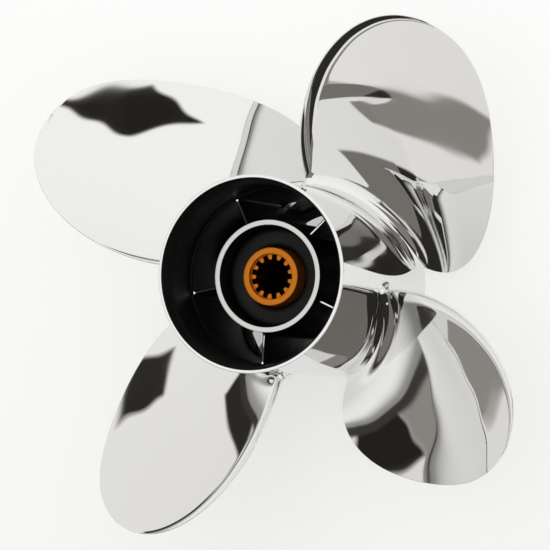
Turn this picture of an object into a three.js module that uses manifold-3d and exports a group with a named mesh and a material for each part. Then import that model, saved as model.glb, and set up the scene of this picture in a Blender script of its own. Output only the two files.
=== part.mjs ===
// Four-bladed, right-handed outboard propeller with exhaust through its hub.
// Millimetres. +Z is the shaft axis and points aft. The propeller stands on the forward
// face of its barrel, z = 0, and blade 1 has its root generator line on +X.

import * as THREE from 'three';
import { mergeVertices } from 'three/addons/utils/BufferGeometryUtils.js';
import Module from 'manifold-3d';

const wasm = await Module();
wasm.setup();

// ---- driving dimensions ----

const CLEARANCE = 0.3;            // gap kept between two pieces that meet

const BARREL_LENGTH = 139;        // forward face to aft rim, with the flared ring
const BARREL_RADIUS = 54;         // outside, along the blade roots
const BARREL_AFT_RADIUS = 53;     // outside, where the flare begins
const BARREL_TAPER_START = 84;    // height at which the outside begins to narrow
const BARREL_BORE = 50;           // inside radius along the ribs
const CHAMBER_BORE = 51.2;        // inside radius behind the ribs
const CHAMBER_START = 104;        // height of the step between the two bores
const EDGE = 1.2;                 // chamfer of turned edges

const LIP_RADIUS = 42.4;          // opening of the coned lip in the barrel's forward end
const LIP_CONE_RADIUS = 46.6;     // radius at the top of its cone
const LIP_HEIGHT = 5.4;

const FLARE_LENGTH = 9;           // the ring that opens out behind the barrel
const FLARE_RADIUS = 56;          // outside radius of the aft rim
const RIM_WIDTH = 2;              // flat width of the aft rim

const HUB_START = 8;              // forward face of the inner hub
const HUB_END = 113.4;            // aft rim of the inner hub
const HUB_RADIUS = 32;            // outside radius of the inner hub
const HUB_BORE = 29;              // bore that takes the rubber bush

const RIB_COUNT = 5;
const RIB_THICKNESS = 2.2;
const RIB_START = 6;              // forward edge
const RIB_END_INNER = 106;        // aft edge at the inner hub
const RIB_END_OUTER = 102.5;      // aft edge at the barrel
const RIB_ANGLE = -3.5;           // degrees from +X to the first rib

const SEAT_LENGTH = 14;           // thrust ring in the forward end of the inner hub
const SEAT_MOUTH_RADIUS = 24;
const SEAT_THROAT_RADIUS = 19;

const BUSH_END = 100.2;           // aft face of the rubber
const BUSH_ROUNDING = 3;

const SLEEVE_START = 16;
const SLEEVE_END = 108.6;
const SLEEVE_RADIUS = 16.7;
const COUNTERBORE_RADIUS = 12.9;
const COUNTERBORE_DEPTH = 2.8;

const SPLINE_TEETH = 13;
const SPLINE_ROOT_RADIUS = 12.6;
const SPLINE_TIP_RADIUS = 9.8;
const SPLINE_ANGLE = 130.5;       // degrees from +X to the middle of one tooth
const TOOTH_ROOT_SHARE = 0.56;    // share of the tooth pitch that a tooth fills at its root
const TOOTH_TIP_SHARE = 0.34;     // and at its tip

const BLADE_COUNT = 4;
const TIP_RADIUS = 169.6;
const PLAN_RADIUS = 53;           // radius at which the blade's plan begins
const ROOT_PITCH = 298;
const TIP_PITCH = 493;
const BLADE_ROOT_RADIUS = 54.8;   // foot of a blade: its flat facets sag 0.5 towards the barrel
const BLADE_ROOT_HEIGHT = 42.2;   // height of the generator line at the plan radius
const RAKE = 0.506;               // aft travel of the generator line for each mm outward
const SKEW = [0, 0.15, -0.057];   // radians, as a polynomial of the span from 0 to 1
const AFT_ARC = [41.7, 79.9, -98, 45.9];           // mm to the trailing edge
const FORWARD_ARC = [45.5, 222.8, -424.3, 225.5];  // mm to the leading edge
const TIP_POWER = 3.44;           // how late and how roundly the plan closes at the tip
const ROOT_THICKNESS = 9;
const TIP_THICKNESS = 2.6;
const BLADE_EDGE_THICKNESS = 1.3;
const CUP_WIDTH = 9;              // band along the trailing edge that curls aft
const CUP_HEIGHT = 2;

const SPAN_STEPS = 20;
const CHORD_STATIONS = [-1, -0.94, -0.8, -0.6, -0.4, -0.2, 0, 0.2, 0.4, 0.6, 0.78, 0.88, 0.94, 1];
const ROUND_STEPS = 72;
const SMALL_ROUND_STEPS = 60;

// ---- materials ----

const finish = (color, roughness, metalness) =>
  () => new THREE.MeshStandardMaterial({ color, roughness, metalness });

const polishedSteel = finish(0xd6d4cf, 0.06, 1);
const paintedSteel = finish(0x15130f, 0.45, 0.2);
const blackRubber = finish(0x0c0c0c, 0.85, 0);
const bareBrass = finish(0xc86e14, 0.38, 1);

// ---- helpers ----

const UP = Math.PI / 2;

function radians(degrees) {
  return degrees * Math.PI / 180;
}

function polynomial(terms, x) {
  return terms.reduceRight((sum, term) => sum * x + term, 0);
}

// A ring turned about Z from a closed list of [radius, height] corners, listed with the
// material on the left: up the outside and down the inside.
function turnedRing(corners, steps) {
  const profile = corners.map(([radius, height]) => new THREE.Vector2(radius, height));
  profile.push(profile[0].clone());
  const geometry = new THREE.LatheGeometry(profile, steps);
  geometry.rotateX(UP);
  return geometry;
}

// A flat outline pulled up along Z.
function pulledUp(shape, from, to) {
  const geometry = new THREE.ExtrudeGeometry(shape, { depth: to - from, bevelEnabled: false });
  geometry.translate(0, 0, from);
  return geometry;
}

function toSolid(geometry) {
  const bare = geometry.clone();
  bare.deleteAttribute('normal');
  bare.deleteAttribute('uv');
  const merged = mergeVertices(bare, 1e-4);
  return new wasm.Manifold(new wasm.Mesh({
    numProp: 3,
    vertProperties: new Float32Array(merged.attributes.position.array),
    triVerts: new Uint32Array(merged.index.array),
  }));
}

function fromSolid(solid) {
  const mesh = solid.getMesh();
  const geometry = new THREE.BufferGeometry();
  geometry.setAttribute('position', new THREE.BufferAttribute(mesh.vertProperties, 3));
  geometry.setIndex(new THREE.BufferAttribute(mesh.triVerts, 1));
  geometry.computeVertexNormals();
  return geometry;
}

function named(name, geometry, material) {
  const mesh = new THREE.Mesh(geometry, material);
  mesh.name = name;
  return mesh;
}

// ---- barrel and flared ring ----

// The outer exhaust tube, open at both ends.
function barrel() {
  const top = BARREL_LENGTH - FLARE_LENGTH - CLEARANCE;
  const step = CHAMBER_BORE - BARREL_BORE;
  return named('barrel', turnedRing([
    [BARREL_RADIUS - EDGE, 0],
    [BARREL_RADIUS, EDGE],
    [BARREL_RADIUS, BARREL_TAPER_START],
    [BARREL_AFT_RADIUS, top],
    [CHAMBER_BORE, top],
    [CHAMBER_BORE, CHAMBER_START],
    [BARREL_BORE, CHAMBER_START - step],
    [BARREL_BORE, 0],
  ], ROUND_STEPS), polishedSteel());
}

// The ring that opens out behind the barrel and carries the aft rim.
function flaredRing() {
  const bottom = BARREL_LENGTH - FLARE_LENGTH;
  return named('flared_ring', turnedRing([
    [BARREL_AFT_RADIUS, bottom],
    [BARREL_AFT_RADIUS + 0.5, bottom + 0.35 * FLARE_LENGTH],
    [FLARE_RADIUS - 0.4, bottom + 0.85 * FLARE_LENGTH],
    [FLARE_RADIUS, BARREL_LENGTH],
    [FLARE_RADIUS - RIM_WIDTH, BARREL_LENGTH],
    [CHAMBER_BORE + 1.2, bottom + 0.6 * FLARE_LENGTH],
    [CHAMBER_BORE, bottom],
  ], ROUND_STEPS), polishedSteel());
}

// The coned ring inside the barrel's forward end.
function forwardLip() {
  const outer = BARREL_BORE - CLEARANCE;
  return named('forward_lip', turnedRing([
    [outer, 0],
    [outer, LIP_HEIGHT],
    [LIP_CONE_RADIUS, LIP_HEIGHT],
    [LIP_RADIUS, LIP_HEIGHT - (LIP_CONE_RADIUS - LIP_RADIUS)],
    [LIP_RADIUS, 0],
  ], ROUND_STEPS), paintedSteel());
}

// ---- inner hub, ribs and thrust seat ----

function innerHub() {
  return named('inner_hub', turnedRing([
    [HUB_RADIUS - EDGE, HUB_START],
    [HUB_RADIUS, HUB_START + EDGE],
    [HUB_RADIUS, HUB_END],
    [HUB_BORE + 0.5, HUB_END],
    [HUB_BORE, HUB_END - 0.5],
    [HUB_BORE, HUB_START],
  ], ROUND_STEPS), paintedSteel());
}

// A thin radial web between the inner hub and the barrel.
function rib(index) {
  const inner = HUB_RADIUS + CLEARANCE;
  const outer = BARREL_BORE - CLEARANCE;
  const side = new THREE.Shape([
    new THREE.Vector2(inner, HUB_START + CLEARANCE),
    new THREE.Vector2(outer, RIB_START),
    new THREE.Vector2(outer, RIB_END_OUTER),
    new THREE.Vector2(inner, RIB_END_INNER),
  ]);
  const geometry = new THREE.ExtrudeGeometry(side, { depth: RIB_THICKNESS, bevelEnabled: false });
  geometry.translate(0, 0, -RIB_THICKNESS / 2);
  geometry.rotateX(UP);
  const mesh = named(`rib_${index + 1}`, geometry, paintedSteel());
  mesh.rotation.z = radians(RIB_ANGLE + index * 360 / RIB_COUNT);
  return mesh;
}

// The coned ring in the forward end of the inner hub that takes the engine's thrust.
function thrustSeat() {
  const radius = HUB_BORE - CLEARANCE;
  const top = HUB_START + SEAT_LENGTH;
  return named('thrust_seat', turnedRing([
    [radius, HUB_START],
    [radius, top],
    [SEAT_THROAT_RADIUS, top],
    [SEAT_THROAT_RADIUS, top - 3],
    [SEAT_MOUTH_RADIUS, HUB_START],
  ], ROUND_STEPS), polishedSteel());
}

// ---- cushion hub: rubber bush and splined sleeve ----

function rubberBush() {
  const outer = HUB_BORE - CLEARANCE;
  const inner = SLEEVE_RADIUS + CLEARANCE;
  const bottom = HUB_START + SEAT_LENGTH + CLEARANCE;
  const corners = [[inner + 1, bottom], [outer - 1, bottom], [outer, bottom + 1]];
  const turns = 4;
  for (let i = 0; i <= turns; i += 1) {
    const angle = UP * i / turns;
    corners.push([
      outer - BUSH_ROUNDING * (1 - Math.cos(angle)),
      BUSH_END - BUSH_ROUNDING * (1 - Math.sin(angle)),
    ]);
  }
  for (let i = 0; i <= turns; i += 1) {
    const angle = UP * i / turns;
    corners.push([
      inner + BUSH_ROUNDING * (1 - Math.sin(angle)),
      BUSH_END - BUSH_ROUNDING * (1 - Math.cos(angle)),
    ]);
  }
  corners.push([inner, bottom + 1]);
  return named('rubber_bush', turnedRing(corners, SMALL_ROUND_STEPS), blackRubber());
}

// The outline of the splined bore: one groove and one tooth, repeated.
function splineOutline() {
  const pitch = 2 * Math.PI / SPLINE_TEETH;
  const points = [];
  for (let tooth = 0; tooth < SPLINE_TEETH; tooth += 1) {
    const middle = radians(SPLINE_ANGLE) + tooth * pitch;
    const corners = [
      [SPLINE_ROOT_RADIUS, -TOOTH_ROOT_SHARE / 2],
      [SPLINE_TIP_RADIUS, -TOOTH_TIP_SHARE / 2],
      [SPLINE_TIP_RADIUS, TOOTH_TIP_SHARE / 2],
      [SPLINE_ROOT_RADIUS, TOOTH_ROOT_SHARE / 2],
      [SPLINE_ROOT_RADIUS, 0.5],
    ];
    for (const [radius, share] of corners) {
      const angle = middle + share * pitch;
      points.push(new THREE.Vector2(radius * Math.cos(angle), radius * Math.sin(angle)));
    }
  }
  return new THREE.Shape(points);
}

function splinedSleeve() {
  const mouth = COUNTERBORE_RADIUS;
  const core = SPLINE_TIP_RADIUS - 1;
  const blank = turnedRing([
    [SLEEVE_RADIUS - EDGE, SLEEVE_START],
    [SLEEVE_RADIUS, SLEEVE_START + EDGE],
    [SLEEVE_RADIUS, SLEEVE_END - EDGE],
    [SLEEVE_RADIUS - EDGE, SLEEVE_END],
    [mouth + 0.5, SLEEVE_END],
    [mouth, SLEEVE_END - 0.5],
    [mouth, SLEEVE_END - COUNTERBORE_DEPTH],
    [core, SLEEVE_END - COUNTERBORE_DEPTH],
    [core, SLEEVE_START + COUNTERBORE_DEPTH],
    [mouth, SLEEVE_START + COUNTERBORE_DEPTH],
    [mouth, SLEEVE_START],
  ], SMALL_ROUND_STEPS);
  const broach = pulledUp(splineOutline(), SLEEVE_START - 1, SLEEVE_END + 1);
  const body = toSolid(blank).subtract(toSolid(broach));
  return named('splined_sleeve', fromSolid(body), bareBrass());
}

// ---- blades ----

// The aft, driving face of a blade at a span from 0, at the plan radius, to 1, at the tip,
// and a chord place from -1, the leading edge, to 1, the trailing edge. `depth` goes
// forward from that face, square to it, within the cylinder of the same radius.
function bladePoint(span, chord, depth) {
  const radius = PLAN_RADIUS + (TIP_RADIUS - PLAN_RADIUS) * span;
  const closing = Math.sqrt(Math.max(0, 1 - span ** TIP_POWER));
  const arc = closing * polynomial(chord > 0 ? AFT_ARC : FORWARD_ARC, span);
  const pitch = ROOT_PITCH + (TIP_PITCH - ROOT_PITCH) * span;
  const slope = Math.atan(pitch / (2 * Math.PI * radius));
  const toEdge = arc * (1 - Math.abs(chord));
  const curl = chord > 0 ? Math.max(0, 1 - toEdge / CUP_WIDTH) : 0;
  const forward = depth - CUP_HEIGHT * curl ** 2 * closing;
  const along = chord * arc;
  const turn = polynomial(SKEW, span) + (along * Math.cos(slope) + forward * Math.sin(slope)) / radius;
  const generator = BLADE_ROOT_HEIGHT + RAKE * (radius - PLAN_RADIUS);
  return new THREE.Vector3(
    radius * Math.cos(turn),
    radius * Math.sin(turn),
    generator + along * Math.sin(slope) - forward * Math.cos(slope),
  );
}

function bladeThickness(span, chord) {
  const middle = ROOT_THICKNESS + (TIP_THICKNESS - ROOT_THICKNESS) * span ** 0.8;
  const fullness = (1 - chord * chord) ** 0.75;
  return BLADE_EDGE_THICKNESS + (middle - BLADE_EDGE_THICKNESS) * fullness;
}

// Rows of points run from the root to the tip; at the tip each face closes on one point.
function bladeGeometry() {
  const rootSpan = (BLADE_ROOT_RADIUS - PLAN_RADIUS) / (TIP_RADIUS - PLAN_RADIUS);
  const columns = CHORD_STATIONS.length;
  const faceSize = SPAN_STEPS * columns + 1;
  const positions = [];
  for (const face of [0, 1]) {
    for (let row = 0; row < SPAN_STEPS; row += 1) {
      const span = rootSpan + (1 - rootSpan) * Math.sin(UP * row / SPAN_STEPS);
      for (const chord of CHORD_STATIONS) {
        const point = bladePoint(span, chord, face * bladeThickness(span, chord));
        positions.push(point.x, point.y, point.z);
      }
    }
    const tip = bladePoint(1, 0, face * BLADE_EDGE_THICKNESS);
    positions.push(tip.x, tip.y, tip.z);
  }
  const aft = (row, column) => row * columns + column;
  const fore = (row, column) => faceSize + row * columns + column;
  const aftTip = faceSize - 1;
  const foreTip = 2 * faceSize - 1;
  const last = SPAN_STEPS - 1;
  const end = columns - 1;
  const triangles = [];
  const quad = (a, b, c, d) => triangles.push(a, b, c, a, c, d);
  for (let column = 0; column < end; column += 1) {
    for (let row = 0; row < last; row += 1) {
      quad(aft(row, column), aft(row + 1, column), aft(row + 1, column + 1), aft(row, column + 1));
      quad(fore(row, column), fore(row, column + 1), fore(row + 1, column + 1), fore(row + 1, column));
    }
    triangles.push(aft(last, column), aftTip, aft(last, column + 1));
    triangles.push(fore(last, column), fore(last, column + 1), foreTip);
    quad(aft(0, column), aft(0, column + 1), fore(0, column + 1), fore(0, column));
  }
  for (let row = 0; row < last; row += 1) {
    quad(aft(row, end), aft(row + 1, end), fore(row + 1, end), fore(row, end));
    quad(aft(row, 0), fore(row, 0), fore(row + 1, 0), aft(row + 1, 0));
  }
  quad(aft(last, end), aftTip, foreTip, fore(last, end));
  quad(aft(last, 0), fore(last, 0), foreTip, aftTip);
  const geometry = new THREE.BufferGeometry();
  geometry.setAttribute('position', new THREE.Float32BufferAttribute(positions, 3));
  geometry.setIndex(triangles);
  geometry.computeVertexNormals();
  return geometry;
}

function blade(index) {
  const mesh = named(`blade_${index + 1}`, bladeGeometry(), polishedSteel());
  mesh.rotation.z = radians(index * 360 / BLADE_COUNT);
  return mesh;
}

// ---- assembly ----

const propeller = new THREE.Group();
propeller.add(barrel(), flaredRing(), forwardLip());
propeller.add(innerHub(), thrustSeat(), rubberBush(), splinedSleeve());
for (let index = 0; index < RIB_COUNT; index += 1) {
  propeller.add(rib(index));
}
for (let index = 0; index < BLADE_COUNT; index += 1) {
  propeller.add(blade(index));
}

export default propeller;
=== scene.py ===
# A four-bladed outboard propeller in mirror-polished stainless steel, standing on the
# forward face of its barrel. Metres, in the part's frame: +Z is the shaft axis, pointing aft.

import math

import bpy
import numpy as np
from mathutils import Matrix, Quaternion, Vector


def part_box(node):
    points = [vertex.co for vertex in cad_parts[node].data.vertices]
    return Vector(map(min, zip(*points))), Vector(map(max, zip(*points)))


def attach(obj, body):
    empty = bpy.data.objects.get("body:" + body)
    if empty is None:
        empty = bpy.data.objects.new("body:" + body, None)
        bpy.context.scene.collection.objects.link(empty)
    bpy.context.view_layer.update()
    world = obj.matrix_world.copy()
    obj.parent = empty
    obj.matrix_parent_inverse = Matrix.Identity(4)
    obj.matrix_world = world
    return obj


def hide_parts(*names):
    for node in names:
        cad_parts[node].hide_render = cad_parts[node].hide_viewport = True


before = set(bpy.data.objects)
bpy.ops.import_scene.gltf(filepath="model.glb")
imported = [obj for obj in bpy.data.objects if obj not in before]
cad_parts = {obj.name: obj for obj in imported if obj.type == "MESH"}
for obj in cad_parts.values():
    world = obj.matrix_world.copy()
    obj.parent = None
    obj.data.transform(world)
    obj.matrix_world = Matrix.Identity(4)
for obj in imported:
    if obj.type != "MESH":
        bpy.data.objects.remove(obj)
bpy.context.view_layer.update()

MM = 0.001

# ---- sizes taken from the frame ----


def outer_radius(node):
    """Half the width of a turned node."""
    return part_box(node)[1].x


def foot(node):
    """The node's forward end."""
    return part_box(node)[0].z


def head(node):
    """The node's aft end."""
    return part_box(node)[1].z


BARREL_RADIUS = outer_radius("barrel")
BARREL_TOP = head("flared_ring")
FLARE_RADIUS = outer_radius("flared_ring")
FLARE_FOOT = foot("flared_ring")
HUB_RADIUS = outer_radius("inner_hub")
HUB_FOOT = foot("inner_hub")
HUB_TOP = head("inner_hub")
LIP_TOP = head("forward_lip")
BUSH_RADIUS = outer_radius("rubber_bush")
BUSH_TOP = head("rubber_bush")
BUSH_FOOT = foot("rubber_bush")
SLEEVE_RADIUS = outer_radius("splined_sleeve")
SLEEVE_TOP = head("splined_sleeve")
SLEEVE_FOOT = foot("splined_sleeve")
SEAT_RADIUS = outer_radius("thrust_seat")
SEAT_TOP = head("thrust_seat")
RIB_TOP = head("rib_1")
RIB_FOOT = foot("rib_1")
TIP_RADIUS = 169.6 * MM

# ---- sizes that the frame's boxes don't give ----

BARREL_AFT_RADIUS = 53 * MM
BARREL_TAPER_START = 84 * MM
BARREL_BORE = 50 * MM
CHAMBER_BORE = 51.2 * MM
CHAMBER_START = 104 * MM
RIM_WIDTH = 2 * MM
LIP_RADIUS = 42.4 * MM
LIP_CONE_RADIUS = 46.6 * MM
HUB_BORE = 29 * MM
RIB_COUNT = 5
RIB_ANGLE = -3.5
RIB_DROP = 3.5 * MM
SPLINE_TEETH = 13
SPLINE_ANGLE = 130.5
SPLINE_ROOT_RADIUS = 12.6 * MM
SPLINE_TIP_RADIUS = 9.8 * MM
COUNTERBORE_RADIUS = 12.9 * MM
COUNTERBORE_DEPTH = 2.8 * MM

BLADE_COUNT = 4
PLAN_RADIUS = 53 * MM
ROOT_PITCH = 298 * MM
TIP_PITCH = 493 * MM
BLADE_ROOT_HEIGHT = 42.2 * MM
RAKE = 0.506
SKEW = (0, 0.15, -0.057)
AFT_ARC = tuple(term * MM for term in (41.7, 79.9, -98, 45.9))
FORWARD_ARC = tuple(term * MM for term in (45.5, 222.8, -424.3, 225.5))
TIP_POWER = 3.44
ROOT_THICKNESS = 9 * MM
TIP_THICKNESS = 2.6 * MM
EDGE_THICKNESS = 1.3 * MM
CUP_WIDTH = 9 * MM
CUP_HEIGHT = 2 * MM
RIPPLE = 0.011 * MM        # the slight unevenness that hand polishing leaves
# Its waves: length over 2 pi along the section and outwards, both in mm, and phase.
RIPPLE_WAVES = ((26, 3, 0.4), (-9, 21, 1.9), (17, -14, 3.1), (6, 33, 5.0))
FACE_FILLET = 11 * MM
EDGE_FILLET = 5 * MM


def polynomial(terms, x):
    return sum(term * x**power for power, term in enumerate(terms))


# ---- mesh helpers ----


def add_mesh(name, points, faces, material, sharp=40):
    mesh = bpy.data.meshes.new(name)
    mesh.from_pydata([tuple(p) for p in points], [], [tuple(f) for f in faces])
    mesh.validate()
    mesh.polygons.foreach_set("use_smooth", [True] * len(mesh.polygons))
    mesh.set_sharp_from_angle(angle=math.radians(sharp))
    mesh.materials.append(material)
    piece = bpy.data.objects.new(name, mesh)
    bpy.context.scene.collection.objects.link(piece)
    return piece


def grid_faces(rows, columns, wrap_rows=False, wrap_columns=False):
    """Quads between the points of a grid that is stored row by row."""
    last_row = rows if wrap_rows else rows - 1
    last_column = columns if wrap_columns else columns - 1
    faces = []
    for i in range(last_row):
        here, there = i * columns, (i + 1) % rows * columns
        for j in range(last_column):
            k = (j + 1) % columns
            faces.append((here + j, there + j, there + k, here + k))
    return faces


def turned(name, profile, material, steps=240, sharp=30):
    """A ring turned about Z from a closed loop of (radius, height) points."""
    loop = np.array(profile)
    turn = np.linspace(0, 2 * math.pi, steps, endpoint=False)
    x = np.outer(loop[:, 0], np.cos(turn))
    y = np.outer(loop[:, 0], np.sin(turn))
    z = np.repeat(loop[:, 1:2], steps, axis=1)
    points = np.stack([x, y, z], axis=-1).reshape(-1, 3)
    faces = grid_faces(len(loop), steps, wrap_rows=True, wrap_columns=True)
    return add_mesh(name, points, [face[::-1] for face in faces], material, sharp)


def rounded(corners, steps=5):
    """A closed loop with each (radius, height, rounding) corner turned into an arc."""
    loop = []
    count = len(corners)
    for i, (r, z, size) in enumerate(corners):
        here = np.array([r, z])
        if size == 0:
            loop.append(here)
            continue
        before = np.array(corners[i - 1][:2]) - here
        after = np.array(corners[(i + 1) % count][:2]) - here
        start = here + before / np.linalg.norm(before) * size
        end = here + after / np.linalg.norm(after) * size
        for t in np.linspace(0, 1, steps + 1):
            loop.append((1 - t) ** 2 * start + 2 * t * (1 - t) * here + t**2 * end)
    return loop


def recoat(piece, material, chosen):
    """Gives another material to the faces for which chosen(outness, upness, height) holds:
    how far a face looks away from the shaft, how far it looks aft, and where it lies."""
    mesh = piece.data
    mesh.materials.append(material)
    for face in mesh.polygons:
        centre, normal = face.center, face.normal
        reach = math.hypot(centre.x, centre.y)
        outness = (centre.x * normal.x + centre.y * normal.y) / max(reach, MM)
        if chosen(outness, normal.z, centre.z):
            face.material_index = 1


def settle(piece, body, slot, *nodes):
    """Ties a piece to its body and hides the CAD nodes it stands for; the slot is not used."""
    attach(piece, body)
    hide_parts(*nodes)
    return piece


# ---- material helpers ----


class Nodes:
    """A material's node tree, with the wiring in one call for each node."""

    def __init__(self, name):
        self.material = bpy.data.materials.new(name)
        self.material.use_nodes = True
        self.tree = self.material.node_tree
        self.shader = self.tree.nodes["Principled BSDF"]
        self.place = self.add("ShaderNodeTexCoord").outputs["Object"]

    def add(self, kind, links=None, values=None, **settings):
        node = self.tree.nodes.new(kind)
        for key, value in settings.items():
            setattr(node, key, value)
        for key, value in (values or {}).items():
            node.inputs[key].default_value = value
        for key, socket in (links or {}).items():
            self.tree.links.new(socket, node.inputs[key])
        return node

    def link(self, socket, target):
        self.tree.links.new(socket, target)

    def noise(self, scale, detail=3, roughness=0.5):
        return self.add(
            "ShaderNodeTexNoise",
            {"Vector": self.place},
            {"Scale": scale, "Detail": detail, "Roughness": roughness},
        ).outputs["Fac"]

    def span(self, socket, low, high, out_low=0.0, out_high=1.0, smooth=True):
        """Maps low..high of a value to out_low..out_high."""
        return self.add(
            "ShaderNodeMapRange",
            {"Value": socket},
            {"From Min": low, "From Max": high, "To Min": out_low, "To Max": out_high},
            interpolation_type="SMOOTHSTEP" if smooth else "LINEAR",
        ).outputs["Result"]

    def math(self, operation, a, b=None):
        node = self.add("ShaderNodeMath", operation=operation)
        for place, value in enumerate((a, b)):
            if value is None:
                continue
            if isinstance(value, (int, float)):
                node.inputs[place].default_value = value
            else:
                self.link(value, node.inputs[place])
        return node.outputs[0]

    def mix(self, factor, a, b):
        """A colour between a and b, each a colour or a socket."""
        node = self.add("ShaderNodeMix", {"Factor": factor}, data_type="RGBA")
        for key, value in ((6, a), (7, b)):
            if isinstance(value, tuple):
                node.inputs[key].default_value = (*value, 1)
            else:
                self.link(value, node.inputs[key])
        return node.outputs[2]

    def bump(self, height, strength, distance):
        node = self.add(
            "ShaderNodeBump", {"Height": height}, {"Strength": strength, "Distance": distance}
        )
        self.link(node.outputs["Normal"], self.shader.inputs["Normal"])

    def axial(self):
        """Distance from the shaft axis, and height along it."""
        parts = self.add("ShaderNodeSeparateXYZ", {"Vector": self.place})
        squares = self.math(
            "ADD",
            self.math("POWER", parts.outputs["X"], 2),
            self.math("POWER", parts.outputs["Y"], 2),
        )
        return self.math("SQRT", squares), parts.outputs["Z"]


def polished_steel():
    nodes = Nodes("polished_stainless")
    cloud = nodes.noise(9, 3)
    colour = nodes.mix(cloud, (0.815, 0.813, 0.805), (0.845, 0.843, 0.836))
    nodes.link(colour, nodes.shader.inputs["Base Color"])
    nodes.shader.inputs["Metallic"].default_value = 1
    worn = nodes.noise(28, 2)
    nodes.link(nodes.span(worn, 0.3, 0.75, 0.012, 0.045), nodes.shader.inputs["Roughness"])
    return nodes.material


def hub_paint():
    nodes = Nodes("hub_paint")
    patch = nodes.noise(38, 4)
    # Black paint, its colour pushed darker still as painted shade for the dim inside of the hub,
    # where every painted piece sits.
    nodes.link(
        nodes.mix(patch, (0.0016, 0.0016, 0.0015), (0.0042, 0.0041, 0.0038)),
        nodes.shader.inputs["Base Color"],
    )
    nodes.link(nodes.span(patch, 0.3, 0.7, 0.36, 0.52), nodes.shader.inputs["Roughness"])
    nodes.shader.inputs["Specular IOR Level"].default_value = 0.22
    nodes.bump(nodes.noise(650, 3), 0.25, 0.0003)
    return nodes.material


def bare_steel():
    nodes = Nodes("machined_stainless")
    radius, height = nodes.axial()
    lines = nodes.add(
        "ShaderNodeTexNoise",
        {"W": nodes.math(
            "ADD",
            nodes.math("MULTIPLY", radius, 2600),
            nodes.math("MULTIPLY", height, 2600),
        )},
        {"Scale": 1.0, "Detail": 2},
        noise_dimensions="1D",
    ).outputs["Fac"]
    nodes.link(
        nodes.mix(lines, (0.55, 0.54, 0.52), (0.78, 0.77, 0.75)),
        nodes.shader.inputs["Base Color"],
    )
    nodes.shader.inputs["Metallic"].default_value = 1
    nodes.link(nodes.span(lines, 0.2, 0.8, 0.22, 0.36), nodes.shader.inputs["Roughness"])
    nodes.bump(lines, 0.3, 0.0001)
    return nodes.material


def black_rubber():
    nodes = Nodes("rubber")
    bloom = nodes.noise(55, 4)
    # Black rubber, its colour pushed darker still as painted shade deep inside the hub.
    nodes.link(
        nodes.mix(bloom, (0.0028, 0.0028, 0.0028), (0.0075, 0.0074, 0.0072)),
        nodes.shader.inputs["Base Color"],
    )
    nodes.link(nodes.span(bloom, 0.3, 0.7, 0.45, 0.62), nodes.shader.inputs["Roughness"])
    nodes.shader.inputs["Specular IOR Level"].default_value = 0.25
    nodes.bump(nodes.noise(900, 3), 0.3, 0.0002)
    return nodes.material


def sleeve_bronze(name, dull, bright, rough):
    nodes = Nodes(name)
    tarnish = nodes.noise(120, 4)
    nodes.link(nodes.mix(tarnish, dull, bright), nodes.shader.inputs["Base Color"])
    nodes.shader.inputs["Metallic"].default_value = 0.8
    nodes.link(nodes.span(tarnish, 0.3, 0.7, rough, rough + 0.14), nodes.shader.inputs["Roughness"])
    nodes.bump(nodes.noise(800, 3), 0.15, 0.0002)
    return nodes.material


# ---- blades ----


def blade_section(span, loop_steps):
    """The closed outline of a blade on the cylinder at this span: distance along the
    pitch line from the generator, and distance forward of the driving face."""
    closing = math.sqrt(max(0.0, 1 - span**TIP_POWER))
    aft = polynomial(AFT_ARC, span) * closing
    fore = polynomial(FORWARD_ARC, span) * closing
    to_tip = (1 - span) * (TIP_RADIUS - PLAN_RADIUS)
    full = EDGE_THICKNESS / 2
    edge = math.sqrt(max(0.0, full**2 - max(0.0, full - to_tip) ** 2))
    edge = max(min(edge, 0.45 * min(aft, fore)), 1e-6)
    middle = ROOT_THICKNESS + (TIP_THICKNESS - ROOT_THICKNESS) * span**0.8
    swell = max(0.0, middle - EDGE_THICKNESS) * edge / full

    def depth(along, side):
        reach = aft if along > 0 else fore
        share = min(1.0, abs(along) / max(reach, 1e-9))
        from_trailing_edge = aft - along
        curl = max(0.0, 1 - from_trailing_edge / CUP_WIDTH) ** 2 * closing
        body = 2 * edge + swell * (1 - share * share) ** 0.75
        return side * body - CUP_HEIGHT * curl + (full - edge)

    ease = np.sin(np.linspace(-math.pi / 2, math.pi / 2, loop_steps))
    low, high = -(fore - edge), aft - edge
    stations = low + (high - low) * (ease + 1) / 2
    outline = [(a, depth(a, 0)) for a in stations]
    arc = np.linspace(0, math.pi, 8)[1:-1]
    for centre, sign, angles in ((high, 1, arc), (low, -1, arc)):
        near, far = depth(centre, 0), depth(centre, 1)
        middle_depth, radius = (near + far) / 2, (far - near) / 2
        if sign > 0:
            for angle in angles:
                along = centre + edge * math.sin(angle)
                outline.append((along, middle_depth - radius * math.cos(angle)))
            outline += [(a, depth(a, 1)) for a in stations[::-1]]
        else:
            for angle in angles:
                along = centre - edge * math.sin(angle)
                outline.append((along, middle_depth + radius * math.cos(angle)))
    return np.array(outline), fore, aft


def outward(outline):
    """Unit normals of a closed outline that runs with the solid on its left."""
    ahead = np.roll(outline, -1, axis=0)
    behind = np.roll(outline, 1, axis=0)
    tangent = ahead - behind
    tangent /= np.linalg.norm(tangent, axis=1, keepdims=True) + 1e-12
    return np.stack([tangent[:, 1], -tangent[:, 0]], axis=1)


def on_cylinder(outline, span, radius):
    """Wraps an outline from the pitch line's plane on to its cylinder."""
    pitch = ROOT_PITCH + (TIP_PITCH - ROOT_PITCH) * span
    slope = math.atan(pitch / (2 * math.pi * radius))
    along, forward = outline[:, 0], outline[:, 1]
    turn = polynomial(SKEW, span) + (along * math.cos(slope) + forward * math.sin(slope)) / radius
    generator = BLADE_ROOT_HEIGHT + RAKE * (radius - PLAN_RADIUS)
    height = generator + along * math.sin(slope) - forward * math.cos(slope)
    return np.stack([radius * np.cos(turn), radius * np.sin(turn), height], axis=1)


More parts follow.
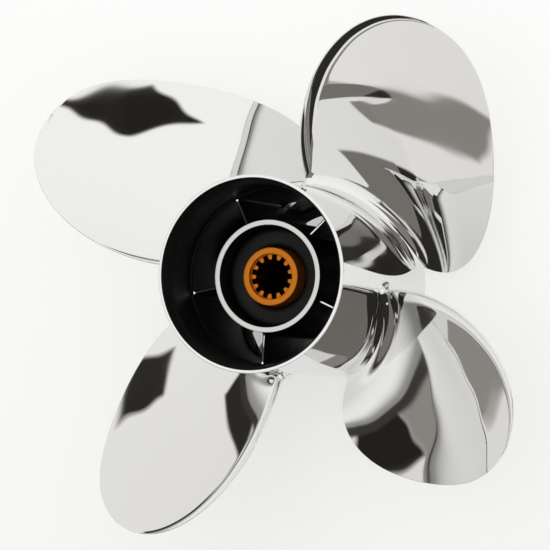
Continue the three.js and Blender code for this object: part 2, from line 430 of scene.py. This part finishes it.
def ripple(span, along):
    """How far the polished face waves to and fro at a place on the blade."""
    reach = span * (TIP_RADIUS - PLAN_RADIUS)
    waves = [
        np.sin(along / (across * MM) + reach / (outwards * MM) + phase)
        for across, outwards, phase in RIPPLE_WAVES
    ]
    return RIPPLE * sum(waves)


def blade_points(loop_steps=110, fillet_rows=22, face_rows=110):
    lifts = [FACE_FILLET * (1 - math.cos(t)) for t in np.linspace(0, math.pi / 2, fillet_rows)]
    start = (BARREL_RADIUS + lifts[-1] - PLAN_RADIUS) / (TIP_RADIUS - PLAN_RADIUS)
    spans = [(BARREL_RADIUS + lift - PLAN_RADIUS) / (TIP_RADIUS - PLAN_RADIUS) for lift in lifts]
    begin = math.asin(start)
    spans += [math.sin(t) for t in np.linspace(begin, math.pi / 2 - 0.006, face_rows + 1)[1:]]
    rows = []
    for span in spans:
        radius = PLAN_RADIUS + (TIP_RADIUS - PLAN_RADIUS) * span
        outline, fore, aft = blade_section(span, loop_steps)
        lift = radius - BARREL_RADIUS
        if lift < FACE_FILLET:
            share = np.where(outline[:, 0] > 0, outline[:, 0] / aft, -outline[:, 0] / fore)
            size = FACE_FILLET + (EDGE_FILLET - FACE_FILLET) * np.clip(share, 0, 1) ** 6
            inside = np.clip(1 - lift / size, 0, 1)
            flare = size * (1 - np.sqrt(1 - inside**2))
            outline = outline + outward(outline) * flare[:, None]
        outline[:, 1] += ripple(span, outline[:, 0])
        rows.append(on_cylinder(outline, span, radius))
    sunk = rows[0].copy()
    sunk[:, :2] *= (BARREL_RADIUS - 0.6 * MM) / BARREL_RADIUS
    return np.array([sunk, *rows])


def blade(index, rows, material):
    count, columns = rows.shape[:2]
    turn = index * 2 * math.pi / BLADE_COUNT
    spin = np.array([
        [math.cos(turn), -math.sin(turn), 0],
        [math.sin(turn), math.cos(turn), 0],
        [0, 0, 1],
    ])
    points = rows.reshape(-1, 3) @ spin.T
    faces = grid_faces(count, columns, wrap_columns=True)
    tip = points[-columns:].mean(axis=0)
    last = (count - 1) * columns
    tip_index = len(points)
    faces += [(last + j, tip_index, last + (j + 1) % columns) for j in range(columns)]
    faces.append(tuple(range(columns)))
    name = f"blade_{index + 1}"
    piece = add_mesh(f"polished_{name}", [*points, tip], faces, material)
    return settle(piece, "propeller", "polished_stainless", name)


# ---- turned pieces ----


def barrel(material, lining):
    step = CHAMBER_BORE - BARREL_BORE
    loop = rounded([
        (BARREL_RADIUS, 0, 1.2 * MM),
        (BARREL_RADIUS, BARREL_TAPER_START, 20 * MM),
        (BARREL_AFT_RADIUS, FLARE_FOOT, 0),
        (CHAMBER_BORE, FLARE_FOOT, 0),
        (CHAMBER_BORE, CHAMBER_START, 0.6 * MM),
        (BARREL_BORE, CHAMBER_START - step, 0.6 * MM),
        (BARREL_BORE, 0, 0.8 * MM),
    ], 8)
    piece = turned("barrel_shell", loop, material)
    recoat(piece, lining, lambda outness, upness, height: outness < -0.3)
    return settle(piece, "propeller", "polished_stainless", "barrel")


def flared_ring(material, lining):
    loop = []
    rise = BARREL_TOP - FLARE_FOOT
    for t in np.linspace(0, 1, 16):
        swell = (FLARE_RADIUS - BARREL_AFT_RADIUS) * t**1.6
        loop.append((BARREL_AFT_RADIUS + swell, FLARE_FOOT + rise * 0.93 * t))
    soft = 0.6 * MM
    for t in np.linspace(0, math.pi / 2, 6)[1:]:
        loop.append((
            FLARE_RADIUS - soft + soft * math.cos(t),
            BARREL_TOP - soft + soft * math.sin(t),
        ))
    inner = FLARE_RADIUS - RIM_WIDTH
    for t in np.linspace(0, math.pi / 2, 5):
        loop.append((
            inner + 0.4 * MM * (1 - math.sin(t)),
            BARREL_TOP - 0.4 * MM * (1 - math.cos(t)),
        ))
    for t in np.linspace(0.9, 0, 14):
        loop.append((CHAMBER_BORE + (inner - CHAMBER_BORE) * t**1.5, FLARE_FOOT + rise * t))
    piece = turned("polished_flared_ring", loop, material)
    recoat(piece, lining, lambda outness, upness, height: outness < -0.3)
    return settle(piece, "propeller", "polished_stainless", "flared_ring")


def forward_lip(material, bare):
    """The coned lip in the barrel's forward end, with the fillet that runs up into the bore."""
    outer = BARREL_BORE + 0.5 * MM
    rise = 8 * MM
    loop = rounded([
        (outer, 0, 0),
        (outer, LIP_TOP + rise, 0),
        (BARREL_BORE - 0.02 * MM, LIP_TOP + rise, 0),
    ])
    run = BARREL_BORE - LIP_CONE_RADIUS
    for t in np.linspace(0, math.pi / 2, 10)[1:]:
        loop.append((BARREL_BORE - run * (1 - math.cos(t)), LIP_TOP + rise * (1 - math.sin(t))))
    loop += rounded([
        (LIP_RADIUS, LIP_TOP - (LIP_CONE_RADIUS - LIP_RADIUS), 0.5 * MM),
        (LIP_RADIUS, 0, 0.4 * MM),
    ])
    piece = turned("painted_forward_lip", loop, material)
    recoat(piece, bare, lambda outness, upness, height: upness < -0.5)
    return settle(piece, "propeller", "hub_paint", "forward_lip")


def inner_hub(material, bare):
    loop = rounded([
        (HUB_RADIUS, HUB_FOOT, 0.8 * MM),
        (HUB_RADIUS, HUB_TOP, 0.4 * MM),
        (HUB_BORE, HUB_TOP, 0.5 * MM),
        (HUB_BORE, HUB_FOOT, 0.5 * MM),
    ])
    piece = turned("painted_inner_hub", loop, material)
    recoat(piece, bare, lambda outness, upness, height: abs(upness) > 0.3)
    return settle(piece, "propeller", "hub_paint", "inner_hub")


def thrust_seat(material):
    loop = rounded([
        (SEAT_RADIUS, HUB_FOOT, 0.3 * MM),
        (SEAT_RADIUS, SEAT_TOP, 0.3 * MM),
        (19 * MM, SEAT_TOP, 0.3 * MM),
        (19 * MM, SEAT_TOP - 3 * MM, 0.6 * MM),
        (24 * MM, HUB_FOOT, 0.5 * MM),
    ])
    return settle(
        turned("turned_thrust_seat", loop, material), "propeller", "machined_stainless", "thrust_seat"
    )


def rubber_bush(material):
    inner = SLEEVE_RADIUS + 0.3 * MM
    crown = 3.4 * MM
    loop = [(inner, BUSH_FOOT + 1 * MM), (inner + 1 * MM, BUSH_FOOT)]
    loop += [(BUSH_RADIUS - 1 * MM, BUSH_FOOT), (BUSH_RADIUS, BUSH_FOOT + 1 * MM)]
    for t in np.linspace(0, math.pi / 2, 10):
        loop.append((BUSH_RADIUS - crown * (1 - math.cos(t)), BUSH_TOP - crown * (1 - math.sin(t))))
    for t in np.linspace(0, math.pi / 2, 10):
        loop.append((inner + crown * (1 - math.sin(t)), BUSH_TOP - crown * (1 - math.cos(t))))
    piece = turned("moulded_rubber_bush", loop, material)
    return settle(piece, "propeller", "rubber", "rubber_bush")


# ---- ribs ----


def rib(index, material, bare):
    inner, outer = HUB_RADIUS - 0.3 * MM, BARREL_BORE + 0.3 * MM
    half = 0.9 * MM
    flare = 2.2 * MM
    across = np.concatenate([
        inner + flare * (1 - np.cos(np.linspace(0, math.pi / 2, 8))),
        np.linspace(inner + flare, outer - flare, 6)[1:-1],
        outer - flare * (1 - np.cos(np.linspace(math.pi / 2, 0, 8))),
    ])
    points = []
    for radius in across:
        near = min(radius - inner, outer - radius)
        inside = max(0.0, 1 - near / flare)
        thick = half + flare * (1 - math.sqrt(max(0.0, 1 - inside**2)))
        top = RIB_TOP - RIB_DROP * (radius - inner) / (outer - inner) + (thick - half) * 0.6
        low = RIB_FOOT + HUB_FOOT * 0.1 * (outer - radius) / (outer - inner) - (thick - half) * 0.4
        bend = thick
        ring = []
        for t in np.linspace(0, math.pi, 9):
            ring.append((thick * math.cos(t), top - bend + bend * math.sin(t)))
        for t in np.linspace(0, math.pi, 9):
            ring.append((-thick * math.cos(t), low + bend - bend * math.sin(t)))
        points += [(radius, y, z) for y, z in ring]
    columns = 18
    faces = grid_faces(len(across), columns, wrap_columns=True)
    last = (len(across) - 1) * columns
    faces.append(tuple(range(columns)))
    faces.append(tuple(last + j for j in range(columns))[::-1])
    faces = [face[::-1] for face in faces]
    turn = math.radians(RIB_ANGLE + index * 360 / RIB_COUNT)
    spun = [
        (x * math.cos(turn) - y * math.sin(turn), x * math.sin(turn) + y * math.cos(turn), z)
        for x, y, z in points
    ]
    name = f"rib_{index + 1}"
    piece = add_mesh(f"cast_{name}", spun, faces, material)
    recoat(piece, bare, lambda outness, upness, height: upness > 0.72)
    return settle(piece, "propeller", "hub_paint", name)


# ---- splined sleeve ----


def bore_radius(turn):
    """The splined bore: blunt teeth with rounded flanks."""
    pitch = 2 * math.pi / SPLINE_TEETH
    share = (turn - math.radians(SPLINE_ANGLE)) / pitch
    off = np.abs(share - np.round(share))
    rise = np.clip((off - 0.15) / (0.30 - 0.15), 0, 1)
    rise = rise * rise * (3 - 2 * rise)
    return SPLINE_TIP_RADIUS + (SPLINE_ROOT_RADIUS - SPLINE_TIP_RADIUS) * rise


def splined_sleeve(material, bore_shade):
    steps = SPLINE_TEETH * 28
    turn = np.linspace(0, 2 * math.pi, steps, endpoint=False)
    bore = bore_radius(turn)
    plain = np.ones(steps)
    deep = SLEEVE_TOP - COUNTERBORE_DEPTH
    fore = SLEEVE_FOOT + COUNTERBORE_DEPTH
    soft = 0.35 * MM
    shell = rounded([
        (COUNTERBORE_RADIUS, fore, 0.2 * MM),
        (COUNTERBORE_RADIUS, SLEEVE_FOOT, 0.5 * MM),
        (SLEEVE_RADIUS, SLEEVE_FOOT, 1.0 * MM),
        (SLEEVE_RADIUS, SLEEVE_TOP, 0.9 * MM),
        (COUNTERBORE_RADIUS, SLEEVE_TOP, 0.7 * MM),
        (COUNTERBORE_RADIUS, deep, 0.2 * MM),
    ])
    rows = [(radius * plain, height) for radius, height in shell]
    rows.append((bore + soft, deep))
    rows.append((bore + 0.3 * soft, deep - 0.3 * soft))
    rows.append((bore, deep - soft))
    rows += [(bore, height) for height in np.linspace(deep - soft, fore + soft, 12)[1:-1]]
    rows.append((bore, fore + soft))
    rows.append((bore + soft, fore))
    points = []
    for radius, height in rows:
        radius = np.minimum(radius, SLEEVE_RADIUS)
        x, y = radius * np.cos(turn), radius * np.sin(turn)
        points += list(zip(x, y, np.full(steps, height)))
    faces = grid_faces(len(rows), steps, wrap_rows=True, wrap_columns=True)
    faces = [tuple(face)[::-1] for face in faces]
    piece = add_mesh("bronze_splined_sleeve", points, faces, material, 35)
    middle = (SLEEVE_TOP + SLEEVE_FOOT) / 2
    reach = deep - middle - 0.3 * MM

    # The bore's walls get a near-black bronze: painted shade down the shaft hole.
    def in_bore(outness, upness, height):
        return outness < 0.6 and abs(height - middle) < reach

    recoat(piece, bore_shade, in_bore)
    return settle(piece, "sleeve", "sleeve_brass", "splined_sleeve")


# ---- build ----

steel = polished_steel()
paint = hub_paint()
turned_steel = bare_steel()

barrel(steel, paint)
flared_ring(steel, paint)
forward_lip(paint, turned_steel)
inner_hub(paint, turned_steel)
thrust_seat(turned_steel)
rubber_bush(black_rubber())
splined_sleeve(
    sleeve_bronze("sleeve_brass", (0.50, 0.145, 0.006), (0.64, 0.21, 0.012), 0.34),
    # Near-black bronze for the bore walls, painted shade.
    sleeve_bronze("bore_painted_shade", (0.028, 0.007, 0.0008), (0.075, 0.019, 0.0015), 0.42),
)
for rib_index in range(RIB_COUNT):
    rib(rib_index, paint, steel)
blade_rows = blade_points()
for blade_index in range(BLADE_COUNT):
    blade(blade_index, blade_rows, steel)

# ---- floor, light and camera ----

# A white light tent stands round the propeller, open at the top. Polished steel shows only
# what stands round it, so a few plain dark cards hang on the tent's wall, and its foot is a
# dark gap all the way round.
TENT_RADIUS = 0.6
TENT_HEIGHT = 1.0
STUDIO_WHITE = 1.03
BRIGHT_SIDE = -20        # azimuth in degrees that the softer, brighter light comes from
CARD_EDGE = 10 * MM      # how wide the soft edge of a card is
# Each card: from and to azimuth in degrees, from and to height in mm, share of light it keeps.
CARDS = (
    (-158, -98, 40, 320, 0.03),
    (-98, -56, 110, 325, 0.24),
    (-90, -46, 0, 105, 0.03),
    (-157, -106, 396, 460, 0.28),
    (-31, -17, 690, 815, 0.02),
    (70, 78, 240, 315, 0.03),
    (88, 101, 0, 80, 0.03),
    (131, 140, 0, 100, 0.02),
    (140, 158, 0, 120, 0.3),
    (158, 202, 0, 320, 0.2),
    (-180, 180, 0, 24, 0.05),
)
FLOOR_SIZE = 12
LIT_RADIUS = 0.26        # the floor is evenly white and glows evenly out to here, a painted pool of light
DIM_RADIUS = 0.5         # and pale grey from here on, colour and glow falling off as the pool's painted edge


def tent_light(azimuth, height):
    """Share of the full light that the tent's wall gives at a place."""
    turn = np.radians(azimuth - BRIGHT_SIDE)
    light = 0.90 + 0.10 * np.cos(turn)
    for start, end, low, high, share in CARDS:
        off = (azimuth - (start + end) / 2 + 180) % 360 - 180
        across = (np.abs(off) - (end - start) / 2) * math.radians(1) * TENT_RADIUS
        along = np.abs(height - (low + high) / 2 * MM) - (high - low) / 2 * MM
        gap = np.clip(np.maximum(across, along) / CARD_EDGE + 0.5, 0, 1)
        gap = gap * gap * (3 - 2 * gap)
        light = share + (light - share) * gap
    return light


def direction(azimuth, elevation):
    azimuth, elevation = math.radians(azimuth), math.radians(elevation)
    return Vector((
        math.cos(azimuth) * math.cos(elevation),
        math.sin(azimuth) * math.cos(elevation),
        math.sin(elevation),
    ))


def tent():
    """The tent's wall, which shows only in reflections."""
    azimuths = np.arange(-180, 180, 0.5)
    heights = np.arange(0, TENT_HEIGHT + 2 * MM, 4 * MM)
    turn, height = np.meshgrid(azimuths, heights)
    points = np.stack([
        TENT_RADIUS * np.cos(np.radians(turn)),
        TENT_RADIUS * np.sin(np.radians(turn)),
        height,
    ], axis=-1).reshape(-1, 3)
    mesh = bpy.data.meshes.new("tent_wall")
    faces = grid_faces(len(heights), len(azimuths), wrap_columns=True)
    mesh.from_pydata(points.tolist(), [], faces)
    light = tent_light(turn, height).ravel()
    mesh.attributes.new("light", "FLOAT", "POINT").data.foreach_set("value", light)
    nodes = Nodes("tent_wall")
    share = nodes.add("ShaderNodeAttribute", attribute_name="light").outputs["Fac"]
    glow = nodes.add("ShaderNodeEmission")
    nodes.link(nodes.mix(share, (0.90, 0.84, 0.76), (1, 1, 0.99)), glow.inputs["Color"])
    nodes.link(nodes.math("MULTIPLY", share, STUDIO_WHITE), glow.inputs["Strength"])
    nodes.link(glow.outputs[0], nodes.tree.nodes["Material Output"].inputs["Surface"])
    nodes.material.cycles.emission_sampling = "NONE"
    mesh.materials.append(nodes.material)
    wall = bpy.data.objects.new("tent_wall", mesh)
    bpy.context.scene.collection.objects.link(wall)
    wall.visible_camera = False


def floor():
    """A plain white sheet of paper with a painted pool of light: its glow is even but fades out under
    the hub as painted shade, and colour and glow fall to pale grey further out.
    """
    half = FLOOR_SIZE / 2
    corners = [(-half, -half, 0), (half, -half, 0), (half, half, 0), (-half, half, 0)]
    mesh = bpy.data.meshes.new("floor")
    mesh.from_pydata(corners, [], [(0, 1, 2, 3)])
    nodes = Nodes("paper_with_painted_glow")
    paper = nodes.noise(3, 2)
    reach = nodes.add("ShaderNodeVectorMath", {0: nodes.place}, operation="LENGTH").outputs["Value"]
    white = nodes.mix(paper, (0.51, 0.51, 0.507), (0.54, 0.54, 0.537))
    # Colour and glow fall off away from the propeller: the painted edge of a pool of light.
    away = nodes.span(reach, LIT_RADIUS, DIM_RADIUS, 0, 1)
    nodes.link(nodes.mix(away, white, (0.27, 0.267, 0.26)), nodes.shader.inputs["Base Color"])
    # The floor glows though it is no lamp, painted light; under the hub's bore the glow is cut away,
    # painted shade.
    glow = nodes.math(
        "MULTIPLY",
        nodes.span(reach, LIT_RADIUS, DIM_RADIUS, 0.52, 0.12),
        nodes.span(reach, HUB_BORE, HUB_RADIUS),
    )
    nodes.link(glow, nodes.shader.inputs["Emission Strength"])
    clear = nodes.add("ShaderNodeBsdfTransparent").outputs[0]
    below = nodes.add("ShaderNodeNewGeometry").outputs["Backfacing"]
    sheet_look = nodes.add("ShaderNodeMixShader", {0: below, 1: nodes.shader.outputs[0], 2: clear})
    nodes.link(sheet_look.outputs[0], nodes.tree.nodes["Material Output"].inputs["Surface"])
    nodes.shader.inputs["Roughness"].default_value = 0.9
    nodes.shader.inputs["Specular IOR Level"].default_value = 0
    nodes.shader.inputs["Emission Color"].default_value = (1, 1, 1, 1)
    nodes.material.cycles.emission_sampling = "NONE"
    mesh.materials.append(nodes.material)
    sheet = bpy.data.objects.new("floor", mesh)
    bpy.context.scene.collection.objects.link(sheet)


def sky():
    world = bpy.data.worlds.new("studio")
    world.use_nodes = True
    background = world.node_tree.nodes["Background"]
    background.inputs["Color"].default_value = (STUDIO_WHITE, STUDIO_WHITE, STUDIO_WHITE, 1)
    bpy.context.scene.world = world


CAMERA_AZIMUTH = -57.12    # degrees from +X towards +Y
CAMERA_ELEVATION = 67.99
CAMERA_ROLL = -82.36
CAMERA_DISTANCE = 2.93
CAMERA_AIM = Vector((8.0, -10.3, 133.9)) * MM
CAMERA_LENS = 342.2


def camera():
    data = bpy.data.cameras.new("camera")
    data.lens = CAMERA_LENS
    data.clip_end = 50
    view = bpy.data.objects.new("camera", data)
    bpy.context.scene.collection.objects.link(view)
    back = direction(CAMERA_AZIMUTH, CAMERA_ELEVATION)
    view.location = CAMERA_AIM + back * CAMERA_DISTANCE
    level = (-back).to_track_quat("-Z", "Y")
    view.rotation_mode = "QUATERNION"
    view.rotation_quaternion = level @ Quaternion((0, 0, 1), math.radians(CAMERA_ROLL))
    bpy.context.scene.camera = view


sky()
tent()
floor()
camera()
bpy.context.scene.view_settings.view_transform = "Standard"
